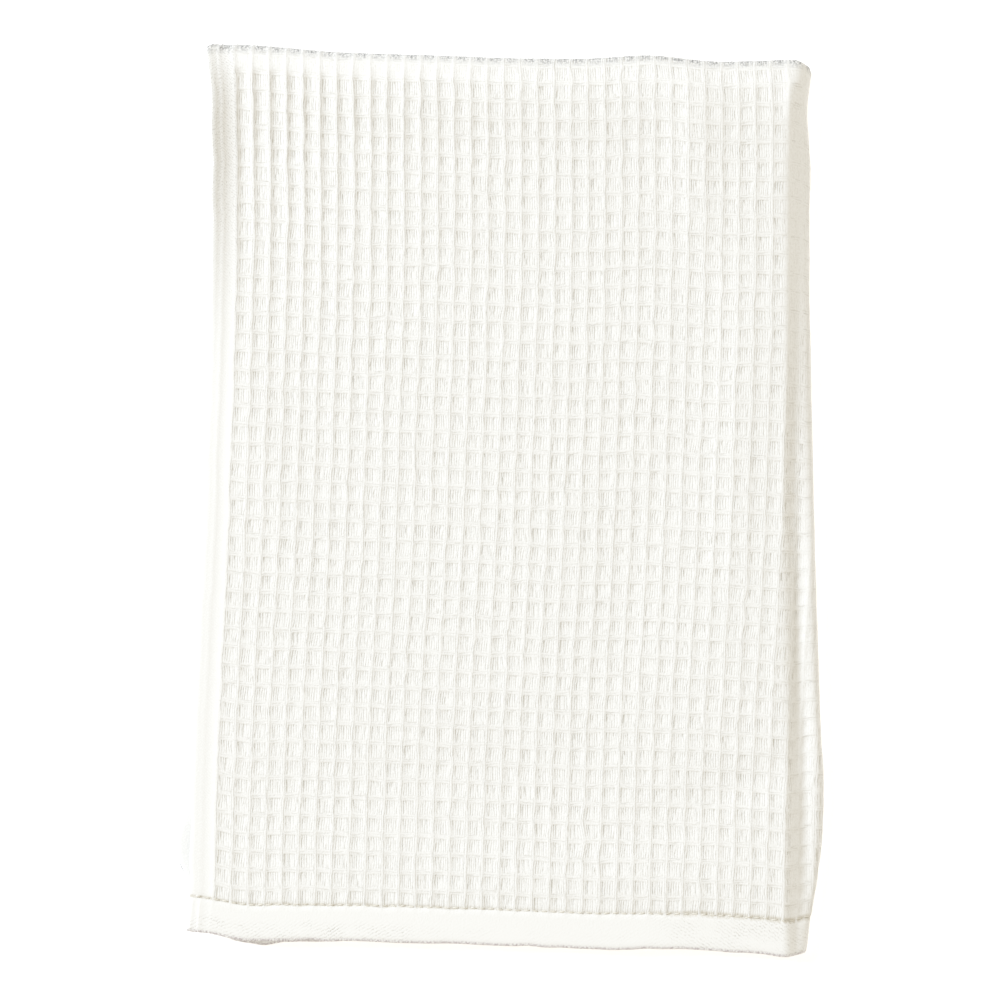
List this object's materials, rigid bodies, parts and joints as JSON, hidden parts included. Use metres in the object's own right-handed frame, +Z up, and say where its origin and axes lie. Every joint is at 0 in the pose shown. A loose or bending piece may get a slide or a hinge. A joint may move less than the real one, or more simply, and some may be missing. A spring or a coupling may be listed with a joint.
{
  "type": "dish towel",
  "caption": "White cotton waffle-weave dish towel with smooth hems and woven selvages, folded in quarters and lying flat.",
  "frame": {"origin": "middle of the folded towel's footprint, on the surface it lies on", "axes": "+Y runs along the towel's length from its hems to its crosswise fold, +X runs from its selvages to its lengthwise fold, +Z points up through the layers"},
  "size_m": [0.257, 0.3614, 0.0144],
  "materials": {
    "waffle_cotton": "matt ivory-white waffle-weave cotton with fine twill hems"
  },
  "bodies": {
    "root": {"towel": "waffle_cotton"}
  },
  "joints": []
}
